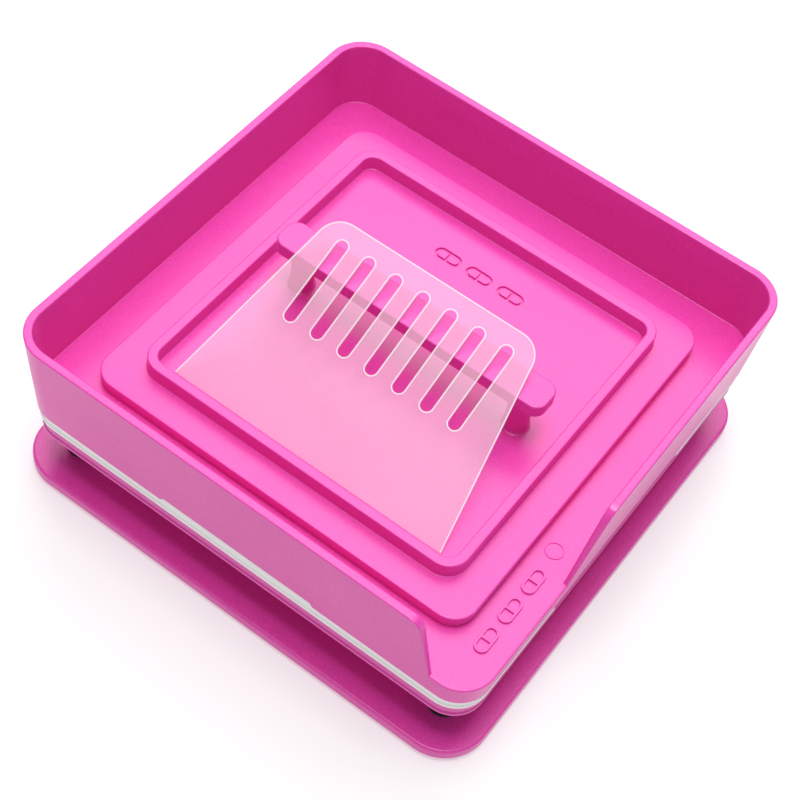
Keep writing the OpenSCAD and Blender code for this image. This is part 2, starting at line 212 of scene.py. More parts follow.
class Shell:
    """Points and faces of one piece, gathered ring by ring."""

    def __init__(self):
        self.points = []
        self.faces = []
        self.slots = []
        self.slot = 0

    def face(self, corners):
        self.faces.append(corners)
        self.slots.append(self.slot)

    def ring(self, outline):
        """Adds a closed ring of points."""
        start = len(self.points)
        self.points += outline
        return list(range(start, len(self.points)))

    def skin(self, a, b):
        """Faces between two rings. Anticlockwise rings face outwards from a up to b."""
        for i in range(len(a)):
            j = (i + 1) % len(a)
            self.face((a[i], a[j], b[j], b[i]))

    def loft(self, rings):
        for a, b in zip(rings, rings[1:]):
            self.skin(a, b)

    def cap(self, outer, holes=(), up=True):
        """A flat face inside outer, less the holes, which are convex."""
        numbers = []
        home = []
        edges = []
        for which, loop in enumerate([outer, *holes]):
            start = len(numbers)
            numbers += loop
            home += [which] * len(loop)
            edges += [(start + i, start + (i + 1) % len(loop)) for i in range(len(loop))]
        flat = [Vector(self.points[n][:2]) for n in numbers]
        _, _, triangles, origins, _, _ = delaunay_2d_cdt(flat, edges, [], 1, 1e-7)
        for triangle in triangles:
            corners = [origins[v][0] for v in triangle]
            homes = {home[c] for c in corners}
            if len(homes) == 1 and homes != {0}:
                continue
            found = [numbers[c] for c in corners]
            self.face(tuple(found if up else reversed(found)))

    def squares(self, section, core, stops=()):
        """Lofts a section of (half side, height) round the square."""
        rings = [self.ring(square_outline(d, core, z, stops)) for d, z in section]
        self.loft(rings)
        return rings

    def turned(self, centre, section, steps=HOLE_STEPS):
        """Lofts a section of (radius, height) round an upright axis."""
        rings = [self.ring(circle_outline(*centre, r, z, steps)) for r, z in section]
        self.loft(rings)
        return rings

    def bores(self, centres, section):
        """Holes with a section that runs down, as their top and bottom rings."""
        found = [self.turned(c, section) for c in centres]
        return [rings[0] for rings in found], [rings[-1] for rings in found]

    def knob(self, centre, section, steps=HOLE_STEPS):
        """A closed round body with a section that runs up."""
        rings = self.turned(centre, section, steps)
        self.cap(rings[0], up=False)
        self.cap(rings[-1])
        return rings

    def ridge(self, outlines):
        """A closed band: its outlines go round its section."""
        rings = [self.ring(o) for o in outlines]
        self.loft([*rings, rings[0]])


def make_piece(name, shell, body, nodes, materials, sharp=32):
    """Turns a shell into an object that rides on a body and stands for CAD nodes."""
    mesh = bpy.data.meshes.new(name)
    mesh.from_pydata([Vector(p) * MM for p in shell.points], [], shell.faces)
    mesh.polygons.foreach_set("material_index", shell.slots)
    mesh.polygons.foreach_set("use_smooth", [True] * len(shell.faces))
    mesh.set_sharp_from_angle(angle=math.radians(sharp))
    for material in materials:
        mesh.materials.append(material)
    obj = bpy.data.objects.new(name, mesh)
    bpy.context.scene.collection.objects.link(obj)
    shade = obj.modifiers.new("even_faces", "WEIGHTED_NORMAL")
    shade.keep_sharp = True
    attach(obj, body)
    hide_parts(*nodes)
    return obj


# ---- Materials ----


def new_material(name):
    """A node material with its Principled shader and object coordinates."""
    material = bpy.data.materials.new(name)
    material.use_nodes = True
    tree = material.node_tree
    shader = tree.nodes["Principled BSDF"]
    place = tree.nodes.new("ShaderNodeTexCoord")
    return material, tree, shader, place.outputs["Object"]


def noise(tree, place, size, detail=3.0, roughness=0.55):
    """A noise whose lumps are about size millimetres across."""
    node = tree.nodes.new("ShaderNodeTexNoise")
    node.inputs["Scale"].default_value = 1 / (size * MM)
    node.inputs["Detail"].default_value = detail
    node.inputs["Roughness"].default_value = roughness
    tree.links.new(place, node.inputs["Vector"])
    return node.outputs["Fac"]


def mapped(tree, value, low, high, start=0.3, end=0.7):
    """Moves a noise's values from start..end to low..high."""
    node = tree.nodes.new("ShaderNodeMapRange")
    node.inputs["From Min"].default_value = start
    node.inputs["From Max"].default_value = end
    node.inputs["To Min"].default_value = low
    node.inputs["To Max"].default_value = high
    tree.links.new(value, node.inputs["Value"])
    return node.outputs["Result"]


def blended(tree, value, first, second):
    """A colour between two, by a value from 0 to 1."""
    node = tree.nodes.new("ShaderNodeMix")
    node.data_type = "RGBA"
    node.inputs["A"].default_value = (*first, 1)
    node.inputs["B"].default_value = (*second, 1)
    tree.links.new(value, node.inputs["Factor"])
    return node.outputs["Result"]


def bumped(tree, shader, layers):
    """Adds bumps, each a value with its depth in millimetres."""
    normal = None
    for value, depth in layers:
        node = tree.nodes.new("ShaderNodeBump")
        node.inputs["Distance"].default_value = depth * MM
        tree.links.new(value, node.inputs["Height"])
        if normal:
            tree.links.new(normal, node.inputs["Normal"])
        normal = node.outputs["Normal"]
    tree.links.new(normal, shader.inputs["Normal"])


def moulded_plastic(name, light, dark, rough=(0.27, 0.36)):
    """Injection-moulded plastic: a soft gloss, a fine mottle and a faint sink-mark waviness."""
    material, tree, shader, place = new_material(name)
    mottle = mapped(tree, noise(tree, place, 0.5, 2), 0, 1)
    tree.links.new(blended(tree, mottle, light, dark), shader.inputs["Base Color"])
    tree.links.new(mapped(tree, noise(tree, place, 38, 2), *rough), shader.inputs["Roughness"])
    bumped(tree, shader, [(noise(tree, place, 24, 1), 0.05), (noise(tree, place, 3, 1), 0.008)])
    shader.inputs["IOR"].default_value = 1.54
    return material


def frosted_sheet(name, tint, cover, rough):
    """Frosted plastic sheet: each of its two faces hides a share of what is behind, its cover."""
    material, tree, shader, place = new_material(name)
    cloud = mapped(tree, noise(tree, place, 30, 2), 0, 1)
    darker = tuple(c * 0.94 for c in tint)
    tree.links.new(blended(tree, cloud, tint, darker), shader.inputs["Base Color"])
    patches = mapped(tree, noise(tree, place, 1.2), rough - 0.03, rough + 0.03)
    tree.links.new(patches, shader.inputs["Roughness"])
    bumped(tree, shader, [(noise(tree, place, 0.35, 2), 0.01)])
    shader.inputs["Alpha"].default_value = cover
    return material


def metal(name, colour, rough, metallic=1.0):
    """Bright or near-black steel with fine drawing marks."""
    material, tree, shader, place = new_material(name)
    cloud = mapped(tree, noise(tree, place, 1.5), 0, 1)
    darker = tuple(c * 0.8 for c in colour)
    tree.links.new(blended(tree, cloud, colour, darker), shader.inputs["Base Color"])
    marks = mapped(tree, noise(tree, place, 0.3), rough * 0.8, rough * 1.3)
    tree.links.new(marks, shader.inputs["Roughness"])
    bumped(tree, shader, [(noise(tree, place, 0.2), 0.004)])
    shader.inputs["Metallic"].default_value = metallic
    return material


def soft_rubber(name):
    """Dull black rubber."""
    material, tree, shader, place = new_material(name)
    cloud = mapped(tree, noise(tree, place, 2), 0, 1)
    worn = blended(tree, cloud, (0.018, 0.018, 0.02), (0.04, 0.04, 0.042))
    tree.links.new(worn, shader.inputs["Base Color"])
    bumped(tree, shader, [(noise(tree, place, 0.5), 0.02)])
    shader.inputs["Roughness"].default_value = 0.72
    return material


PINK = moulded_plastic("pink_moulded", (0.88, 0.070, 0.475), (0.73, 0.050, 0.385))
WHITE = moulded_plastic("white_moulded", (0.97, 0.97, 0.96), (0.92, 0.92, 0.91))
FROSTED = frosted_sheet("frosted_sheet", (0.97, 0.8, 0.92), 0.2, 0.5)
# Whiter, denser band along the card's cut edges: partly the rough cut's own whiteness, partly a
# painted edge glow
CUT_EDGE_AND_GLOW = frosted_sheet("frosted_cut_edge_and_glow", (1.0, 0.98, 0.99), 0.58, 0.5)
STEEL = metal("bright_steel", (0.62, 0.63, 0.65), 0.25)
BLACK_WIRE = metal("black_wire", (0.03, 0.03, 0.032), 0.32, 0.6)
RUBBER = soft_rubber("black_rubber")

# ---- Base ----


def build_base():
    """Base plate with the raised seat that the capsule bodies come down on."""
    low, high = extent("base_plate")
    corner_r = 15
    seat_half, seat_r = 63, 6
    recess_r, recess_deep = 4.1, 1.25
    shell = Shell()
    edge = shell.squares(
        rounded(
            [
                (high.x - 4, low.z, 0),
                (high.x, low.z, 0.5),
                (high.x, BASE_TOP, 0.9),
                (high.x - 4, BASE_TOP, 0),
            ]
        ),
        high.x - corner_r,
    )
    seat = shell.squares(
        rounded(
            [
                (seat_half + 2, BASE_TOP, 0),
                (seat_half, BASE_TOP, 0.5),
                (seat_half, high.z, 0.5),
                (seat_half - 3, high.z, 0),
            ]
        ),
        seat_half - seat_r,
    )
    section = [
        (recess_r, low.z + recess_deep),
        (recess_r, low.z + 0.15),
        (recess_r + 0.15, low.z),
    ]
    recess = [shell.turned(c, section) for c in corner_centres(post_reach())]
    for rings in recess:
        shell.cap(rings[0], up=False)
    shell.cap(edge[-1], [seat[0]])
    shell.cap(seat[-1])
    shell.cap(edge[0], [rings[-1] for rings in recess], up=False)
    return make_piece("base_moulding", shell, "base", ["base_plate"], [PINK])


def build_springs():
    """Coil springs that stand round the guide posts."""
    turns, closed, sides, steps = 8, 1, 12, 40
    wire = 0.4
    press = next(j for j in frame["joints"] if j["name"] == "body_press")
    travel = max(abs(v) for v in press["range_m"])
    for corner in ("front_left", "front_right", "rear_left", "rear_right"):
        node = "spring_" + corner
        low, high = extent(node)
        centre = (low + high) / 2
        radius = (high.x - low.x) / 2 - wire
        rise = high.z - low.z - 2 * wire
        end = 2 * wire * closed
        shell = Shell()
        rings = []
        for i in range(turns * steps + 1):
            t = i / steps
            if t < closed:
                z = 2 * wire * t
            elif t > turns - closed:
                z = rise - 2 * wire * (turns - t)
            else:
                z = end + (rise - 2 * end) * (t - closed) / (turns - 2 * closed)
            a = 2 * math.pi * t
            ring = []
            for k in range(sides):
                b = -2 * math.pi * k / sides
                out = radius + wire * math.cos(b)
                up = low.z + wire + z + wire * math.sin(b)
                ring.append((centre.x + out * math.cos(a), centre.y + out * math.sin(a), up))
            rings.append(shell.ring(ring))
        shell.loft(rings)
        shell.face(tuple(reversed(rings[0])))
        shell.face(tuple(rings[-1]))
        spring = make_piece(
            "coil_" + corner, shell, "base", [node], [BLACK_WIRE], sharp=60
        )
        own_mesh(spring)


# ---- Plates with the capsule holes ----


def build_body_plate():
    """Sprung plate that holds the capsule bodies."""
    low, high = extent("body_plate")
    corner_r = 10.4
    lip, block = LIP_UNDER, BLOCK_UNDER
    block_half, block_r = 62, 6
    shaft_r, screw_r, boss_r, boss_floor = 2.9, 2.1, 3.8, 16
    shell = Shell()
    edge = shell.squares(
        rounded(
            [
                (high.x - 3, lip, 0),
                (high.x, lip, 0.3),
                (high.x, lip + 1.1, 0.2),
                (high.x - 0.4, lip + 1.6, 0.2),
                (high.x - 0.4, high.z - 1.5, 0.3),
                (high.x - 1.5, high.z - 1.3, 0.1),
                (high.x - 1.5, high.z, 0.25),
                (high.x - 3, high.z, 0),
            ]
        ),
        high.x - corner_r,
    )
    under = shell.squares(
        rounded(
            [
                (block_half - 1, block, 0),
                (block_half, block, 0.5),
                (block_half, lip, 0.6),
                (block_half + 2, lip, 0),
            ]
        ),
        block_half - block_r,
    )
    tops, bottoms = shell.bores(
        grid_centres(),
        rounded(
            [
                (4.45, high.z, 0),
                (4.3, high.z, 0.1),
                (CAPSULE_BODY_R, high.z - 0.75, 0.3),
                (CAPSULE_BODY_R, block + 0.2, 0),
                (3.9, block, 0),
            ],
            2,
        ),
    )
    posts = [
        shell.turned(
            c,
            rounded(
                [
                    (3.2, high.z, 0),
                    (shaft_r, high.z, 0.2),
                    (shaft_r, boss_floor, 0),
                    (screw_r, boss_floor, 0),
                    (screw_r, low.z, 0.1),
                    (boss_r, low.z, 0.3),
                    (boss_r, lip, 0.4),
                    (4.4, lip, 0),
                ],
                3,
            ),
        )
        for c in corner_centres(post_reach())
    ]
    shell.cap(edge[-1], [*tops, *[p[0] for p in posts]])
    shell.cap(under[0], bottoms, up=False)
    shell.cap(edge[0], [under[-1], *[p[-1] for p in posts]], up=False)
    return make_piece("body_moulding", shell, "body_unit", ["body_plate"], [PINK])


def locating_holes(shell, low, high):
    """The four holes that the locating pins pass through."""
    r, reach, chamfer = LOCATING_HOLE_R, LOCATING_REACH, 0.15
    return shell.bores(
        [(reach, 0), (0, reach), (-reach, 0), (0, -reach)],
        [
            (r + chamfer, high.z),
            (r, high.z - chamfer),
            (r, low.z + chamfer),
            (r + chamfer, low.z),
        ],
    )


def build_middle_plate():
    """White plate that keeps the joined capsules together."""
    low, high = extent("middle_plate")
    half = high.x
    corner_r = 10.8
    notch, depth, slope = 34, 1.0, 1.2
    stops = [-notch - slope, -notch, notch, notch + slope]
    section = rounded(
        [
            (half - 3, low.z, 0),
            (half, low.z, 0.3),
            (half, low.z + 1.0, 0.2),
            (half - 0.35, low.z + 1.7, 0.2),
            (half - 0.35, high.z, 0.3),
            (half - 3, high.z, 0),
        ],
        3,
    )
    shell = Shell()
    rings = []
    for d, z in section:
        ring = []
        for x, y, height in square_outline(d, half - corner_r, z, stops):
            inward = min(depth, max(0, abs(x) - half + 2)) if abs(y) <= notch else 0
            ring.append((x - math.copysign(inward, x), y, height))
        rings.append(shell.ring(ring))
    shell.loft(rings)
    tops, bottoms = shell.bores(
        grid_centres(),
        rounded(
            [
                (4.75, high.z, 0),
                (4.55, high.z, 0.12),
                (CAPSULE_BODY_R, high.z - 1.2, 0.3),
                (CAPSULE_BODY_R, low.z + 0.2, 0),
                (3.9, low.z, 0),
            ],
            2,
        ),
    )
    pins_top, pins_bottom = locating_holes(shell, low, high)
    shell.cap(rings[-1], tops + pins_top)
    shell.cap(rings[0], bottoms + pins_bottom, up=False)
    return make_piece(
        "middle_moulding", shell, "middle", ["middle_plate"], [WHITE]
    )


def build_cap_plate():
    """Plate that holds the capsule caps, under the tray."""
    low, high = extent("cap_plate")
    corner_r = 7.5
    seat = low.z + 1.2
    shell = Shell()
    edge = shell.squares(
        rounded(
            [
                (high.x - 1.6, low.z, 0),
                (high.x, low.z, 0.4),
                (high.x, high.z, 0.5),
                (high.x - 1.6, high.z, 0),
            ]
        ),
        high.x - corner_r,
    )
    tops, bottoms = shell.bores(
        grid_centres(),
        rounded(
            [
                (4.7, high.z, 0),
                (4.5, high.z, 0.1),
                (CAPSULE_CAP_R, high.z - 0.8, 0.3),
                (CAPSULE_CAP_R, seat, 0),
                (3.5, seat, 0.1),
                (3.5, low.z + 0.15, 0),
                (3.65, low.z, 0),
            ],
            2,
        ),
    )
    pins_top, pins_bottom = locating_holes(shell, low, high)
    shell.cap(edge[-1], tops + pins_top)
    shell.cap(edge[0], bottoms + pins_bottom, up=False)
    return make_piece("cap_moulding", shell, "cap", ["cap_plate"], [PINK])


# ---- Arranging tray ----

# The capsule outlines that mark the tray and the tamper
MARK_LENGTH, MARK_WIDTH, MARK_LINE = 9.5, 4.6, 0.8
MARK_DEPTH, MARK_SOFT, MARK_ROOT = 0.7, 0.08, 0.3
MARK_STEP = 12

# Half sides of the tray: its corner centres, its wall's outer face, its well
TRAY_CORE = 71.1
WALL_LOW, WALL_TOP = 82.38, 84.1
WELL_LOW, WELL_TOP = 80.8, 81.4
# Where the walls stop at the pouring gap, along each side: at the floor and at the rim
RIGHT_END = (-34.0, -21.0)
FRONT_END = (68.0, 62.4)
# Radii of the wall's ends: of their edges, and of the bend into the rim
END_ROUND = 0.6
TOP_ROUND = 3.2
# How finely the wall is divided: at its foot, up its face, over its rim, along a side, at its ends
FOOT_STEPS, WALL_LEVELS, RIM_STEPS, WALL_STEPS, END_STEPS = 4, 14, 5, 22, 4


def tray_floor_shell(shell, low, high):
    """Floor with its funnel holes, and the skirt below it."""
    notch, slope, lift = 28, 1.2, 1.4
    stops = [-notch, -notch + slope, notch - slope, notch]
    skirt = 79.4
    outer = high.x - 2.3
    section = rounded(
        [
            (skirt - 3, TRAY_UNDER, 0),
            (skirt, TRAY_UNDER, 0.8),
            (skirt, low.z, 0.2),
            (outer, low.z, 0.35),
            (WALL_LOW, TRAY_FLOOR, 0.5),
            (WALL_LOW - 3, TRAY_FLOOR, 0),
        ]
    )
    rings = []
    for d, z in section:
        ring = square_outline(d, TRAY_CORE, z, stops)
        if z < low.z + 1:
            raised = []
            for x, y, height in ring:
                inside = min(1, max(0, (notch - abs(x)) / slope)) if abs(y) > TRAY_CORE + 1 else 0
                raised.append((x, y, height + lift * inside))
            ring = raised
        rings.append(shell.ring(ring))
    shell.loft(rings)
    tops, bottoms = shell.bores(
        grid_centres(),
        rounded(
            [
                (5.7, TRAY_FLOOR, 0),
                (5.45, TRAY_FLOOR, 0.15),
                (CAPSULE_CAP_R, TRAY_FLOOR - 1.4, 0.5),
                (CAPSULE_CAP_R, TRAY_UNDER + 0.15, 0),
                (4.1, TRAY_UNDER, 0),
            ],
            3,
        ),
    )
    shell.cap(rings[-1], tops)
    shell.cap(rings[0], bottoms, up=False)


def wall_section(top):
    """Pairs of outer and inner points up the wall, each (distance, height, normal)."""
    height = top - TRAY_FLOOR
    edge, foot = 0.5, 0.3

    def outer(z):
        return WALL_LOW + (WALL_TOP - WALL_LOW) * (z - TRAY_FLOOR) / height

    def inner(z):
        return WELL_LOW + (WELL_TOP - WELL_LOW) * (z - TRAY_FLOOR) / height

    pairs = []
    start = TRAY_FLOOR - 0.45
    pairs.append((outer(start), WELL_LOW - foot, start, 0))
    for i in range(FOOT_STEPS + 1):
        a = math.pi / 2 * i / FOOT_STEPS
        z = TRAY_FLOOR + foot * (1 - math.cos(a))
        pairs.append((outer(z), WELL_LOW - foot * (1 - math.sin(a)), z, 0))
    low, high = TRAY_FLOOR + foot, top - edge
    for i in range(1, WALL_LEVELS):
        share = 1 - (1 - i / WALL_LEVELS) ** 2
        z = low + (high - low) * share
        pairs.append((outer(z), inner(z), z, 0))
    for i in range(RIM_STEPS + 1):
        a = math.pi / 2 * i / RIM_STEPS
        back = edge * (1 - math.cos(a))
        pairs.append((WALL_TOP - back, WELL_TOP + back, high + edge * math.sin(a), a))
    return pairs


def end_place(ends, z, top):
    """How far along its side a wall stops, at a height. It leans, and its top is rounded."""
    low, high = ends
    place = low + (high - low) * (z - TRAY_FLOOR) / (top - TRAY_FLOOR)
    over = max(0, z - (top - TOP_ROUND))
    away = TOP_ROUND - math.sqrt(max(0, TOP_ROUND**2 - over**2))
    return place + math.copysign(away, high - low)


def tray_wall_shell(shell, top):
    """The tray's wall, from the pouring gap right round to the gap again."""
    pairs = wall_section(top)
    # The length of wall over which the lean of its end fades out
    reach = 34

    def loop(base, normal, along, move, tuck=0):
        outline = []
        both = [(d, z, a, 1) for d, _, z, a in pairs]
        both += [(d, z, a, -1) for _, d, z, a in reversed(pairs)]
        for d, z, a, side in both:
            d = d - side * tuck * math.cos(a) - TRAY_CORE
            z = z - tuck * math.sin(a)
            m = move(z)
            x = base[0] + normal[0] * d + along[0] * m
            y = base[1] + normal[1] * d + along[1] * m
            outline.append((x, y, z))
        return shell.ring(outline)

    sides = [((1, 0), (0, 1)), ((0, 1), (-1, 0)), ((-1, 0), (0, -1)), ((0, -1), (1, 0))]
    rings = []
    for k, (normal, along) in enumerate(sides):
        first = RIGHT_END[0] + END_ROUND if k == 0 else -TRAY_CORE
        last = FRONT_END[0] - END_ROUND if k == 3 else TRAY_CORE
        for i in range(WALL_STEPS + 1):
            s = first + (last - first) * i / WALL_STEPS
            base = (along[0] * s + normal[0] * TRAY_CORE, along[1] * s + normal[1] * TRAY_CORE)

            def move(z, s=s, k=k):
                if k == 0:
                    share = max(0, 1 - (s - first) / reach)
                    return (end_place(RIGHT_END, z, top) - RIGHT_END[0]) * share
                if k == 3:
                    share = max(0, 1 - (last - s) / reach)
                    return (end_place(FRONT_END, z, top) - FRONT_END[0]) * share
                return 0

            if k == 0 and i == 0:
                for j in range(END_STEPS, 0, -1):
                    a = math.pi / 2 * j / END_STEPS
                    tuck = END_ROUND * (1 - math.cos(a))
                    near = s - END_ROUND * math.sin(a)
                    at = (normal[0] * TRAY_CORE, near)
                    rings.append(loop(at, normal, along, move, tuck))
            rings.append(loop(base, normal, along, move))
            if k == 3 and i == WALL_STEPS:
                for j in range(1, END_STEPS + 1):
                    a = math.pi / 2 * j / END_STEPS
                    tuck = END_ROUND * (1 - math.cos(a))
                    near = s + END_ROUND * math.sin(a)
                    at = (near, -TRAY_CORE)
                    rings.append(loop(at, normal, along, move, tuck))
        if k < 3:
            centre = (
                TRAY_CORE * (normal[0] + along[0]),
                TRAY_CORE * (normal[1] + along[1]),
            )
            for i in range(1, CORNER_STEPS):
                a = math.pi / 2 * i / CORNER_STEPS
                c, s = math.cos(a), math.sin(a)
                out = (normal[0] * c + along[0] * s, normal[1] * c + along[1] * s)
                rings.append(loop(centre, out, along, lambda z: 0))
    shell.loft(list(reversed(rings)))
    n = len(pairs)
    for ring, facing in ((rings[0], True), (rings[-1], False)):
        for j in range(n - 1):
            quad = (ring[j], ring[j + 1], ring[2 * n - 2 - j], ring[2 * n - 1 - j])
            shell.face(quad if facing else tuple(reversed(quad)))


def pill_halves(shell, centre, grow, z, upright=False):
    """The two spaces inside a capsule outline, on either side of its seam, as rings."""
    length, width = MARK_LENGTH - 2 * MARK_LINE, MARK_WIDTH - 2 * MARK_LINE
    return [
        shell.ring(
            half_pill_outline(
                centre, length + 2 * grow, width + 2 * grow, side, MARK_LINE - 2 * grow, z, upright
            )
        )
        for side in (1, -1)
    ]


def raised_pill(shell, centre, z, upright):
    """Capsule outline with its seam, standing on a face at height z."""
    top, low = z + MARK_DEPTH, z - MARK_ROOT
    outside = [
        shell.ring(pill_outline(centre, MARK_LENGTH - 2 * d, MARK_WIDTH - 2 * d, h, upright))
        for d, h in [(0, low), (0, top - MARK_SOFT), (MARK_SOFT, top)]
    ]
    shell.loft(outside)
    levels = [
        pill_halves(shell, centre, d, h, upright)
        for d, h in [(MARK_SOFT, top), (0, top - MARK_SOFT), (0, low)]
    ]
    for k in (0, 1):
        shell.loft([list(reversed(level[k])) for level in reversed(levels)])
    shell.cap(outside[-1], levels[0])
    shell.cap(outside[0], levels[-1], up=False)


def sunk_pill(shell, centre, z):
    """Capsule outline with its seam, engraved in a face at height z. Returns its outer ring."""
    bottom = z - MARK_DEPTH
    outside = [
        shell.ring(pill_outline(centre, MARK_LENGTH + 2 * d, MARK_WIDTH + 2 * d, h))
        for d, h in [(MARK_SOFT, z), (0, z - MARK_SOFT), (0, bottom)]
    ]
    shell.loft([list(reversed(ring)) for ring in reversed(outside)])
    levels = [
        pill_halves(shell, centre, d, h)
        for d, h in [(0, bottom), (0, z - MARK_SOFT), (-MARK_SOFT, z)]
    ]
    for k in (0, 1):
        shell.loft([level[k] for level in levels])
        shell.cap(levels[-1][k])
    shell.cap(outside[-1], levels[0])
    return outside[0]


def build_tray():
    """Arranging tray: floor, skirt, wall with its pouring gap, and raised marks."""
    low, high = extent("arranging_tray")
    shell = Shell()
    tray_floor_shell(shell, low, high)
    tray_wall_shell(shell, high.z)
    marks_at, gate = (73.9, -51), (73, -26.5)
    for i in (-1, 0, 1):
        raised_pill(shell, (marks_at[0], marks_at[1] + MARK_STEP * i), TRAY_FLOOR, upright=True)
    # The faint round mark left by the mould's gate
    inside, outside, root, crest, chamfer = 2.5, 3, 0.3, 0.28, 0.1
    section = [
        (outside, -root),
        (outside, crest - chamfer),
        (outside - chamfer, crest),
        (inside + chamfer, crest),
        (inside, crest - chamfer),
        (inside, -root),
    ]
    shell.ridge([circle_outline(*gate, r, TRAY_FLOOR + z) for r, z in section])
    return make_piece("tray_moulding", shell, "tray", ["arranging_tray"], [PINK])


# ---- Tamper ----


def build_tamper():
    """Tamper slab with its raised square rim and engraved capsule outlines."""
    low, high = extent("tamper_plate")
    top = SLAB_TOP
    corner_r = 8
    frame_half, frame_r, frame_w = 57.55, 7.2, 3.2
    marks_y = 39.5
    shell = Shell()
    edge = shell.squares(
        rounded(
            [
                (high.x - 3, low.z, 0),
                (high.x, low.z, 0.3),
                (high.x, top, 0.45),
                (high.x - 3, top, 0),
            ]
        ),
        high.x - corner_r,
    )
    rim = shell.squares(
        rounded(
            [
                (frame_half + 1.5, top, 0),
                (frame_half, top, 0.4),
                (frame_half, high.z, 0.45),
                (frame_half - frame_w, high.z, 0.45),
                (frame_half - frame_w, top, 0.4),
                (frame_half - frame_w - 1.5, top, 0),
            ]
        ),
        frame_half - frame_r,
    )
    marks = [sunk_pill(shell, (MARK_STEP * i, marks_y), top) for i in (-1, 0, 1)]
    shell.cap(edge[0], up=False)
    shell.cap(edge[-1], [rim[0]])
    shell.cap(rim[-1], marks)
    return make_piece("tamper_moulding", shell, "tamper", ["tamper_plate"], [PINK])


def build_pin_plate():
    """Lower half of the tamper with its hundred tamping pins."""
    low, high = extent("pin_plate")
    under = TRAY_FLOOR
    corner_r = 7.65
    pin_r, screw_reach, head_r = 3.3, 50, 2.5
    shell = Shell()
    edge = shell.squares(
        rounded(
            [
                (high.x - 3, under, 0),
                (high.x, under, 0.4),
                (high.x, high.z, 0.3),
                (high.x - 3, high.z, 0),
            ]
        ),
        high.x - corner_r,
    )
    section = rounded(
        [
            (2.2, low.z, 0),
            (pin_r, low.z, 0.5),
            (pin_r, under, 0.3),
            (3.8, under, 0),
        ],
        3,
    )
    pins = [shell.turned(c, section, PIN_STEPS) for c in grid_centres()]
    for rings in pins:
        shell.cap(rings[0], up=False)
    section = [(head_r, under + 1.3), (head_r, under + 0.1), (head_r + 0.1, under)]
    screws = [shell.turned(c, section, PIN_STEPS) for c in corner_centres(screw_reach)]
    for rings in screws:
        shell.cap(rings[0], up=False)
    shell.cap(edge[-1])
    shell.cap(edge[0], [rings[-1] for rings in pins + screws], up=False)
    return make_piece("pin_moulding", shell, "tamper", ["pin_plate"], [PINK])


def bar_outline(length, width, radius, depth, z):
    """The handle bar seen from above, moved inwards by depth."""
    outline = []
    for k, (x, y) in enumerate([(1, -1), (1, 1), (-1, 1), (-1, -1)]):
        cx, cy = x * (length / 2 - radius), y * (width / 2 - radius)
        for i in range(CORNER_STEPS + 1):
            a = math.pi / 2 * (k - 1 + i / CORNER_STEPS)
            reach = radius - depth
            outline.append((cx + reach * math.cos(a), cy + reach * math.sin(a), z))
    return outline


def build_handle():
    """Bridge handle: a round-cornered bar on two tapering posts."""
    low, high = extent("handle")
    bar, corner_r, post_x = BAR_UNDER, 4, 40.5
    length, width = high.x - low.x, high.y - low.y
    shell = Shell()
    section = rounded([(-3, bar, 0), (0, bar, 0.5), (0, high.z, 0.5), (-3, high.z, 0)], 5)
    rings = [shell.ring(bar_outline(length, width, corner_r, -d, z)) for d, z in section]
    shell.loft(rings)
    shell.cap(rings[0], up=False)
    shell.cap(rings[-1])
    for x in (-post_x, post_x):
        shell.knob(
            (x, 0),
            rounded(
                [
                    (4.6, low.z, 0),
                    (4.6, low.z + 0.02, 0),
                    (3.95, low.z + 0.3, 0.5),
                    (3.6, bar - 0.3, 0.4),
                    (4.1, bar, 0),
                    (4.1, bar + 0.4, 0),
                ]
            ),
        )
    return make_piece("handle_moulding", shell, "tamper", ["handle"], [PINK])


# ---- Spreader card ----

# How the card leans: its rise over its run back, and the middle of its foot
CARD_TILT = math.atan(19.9 / 45.75)
CARD_FOOT = (0.6, -51.5, 45.85)
CARD_T = 0.6
SLOT_N, SLOT_PITCH, SLOT_WIDTH = 7, 10, 4
SLOT_LOW, SLOT_HIGH = 31.4, 61.2


def card_outline():
    """The card's outline in its own plane, its lower edge on the X axis."""
    half_low, half_top, height, radius = 48.7, 37.75, 66.8, 8
    lean = math.atan((half_low - half_top) / height)
    cy = height - radius
    cx = half_low - (radius + math.sin(lean) * cy) / math.cos(lean)
    outline = [(-half_low, 0), (half_low, 0)]
    for side in (1, -1):
        for i in range(CORNER_STEPS + 1):
            share = i / CORNER_STEPS
            a = lean + (math.pi / 2 - lean) * (share if side == 1 else 1 - share)
            outline.append((side * (cx + radius * math.cos(a)), cy + radius * math.sin(a)))
    return outline


def on_card(flat, height):
    """Points of the card's plane, put where the card leans, height above its lower face."""
    c, s = math.cos(CARD_TILT), math.sin(CARD_TILT)
    x0, y0, z0 = CARD_FOOT
    return [(x0 + x, y0 + y * c - height * s, z0 + y * s + height * c) for x, y in flat]


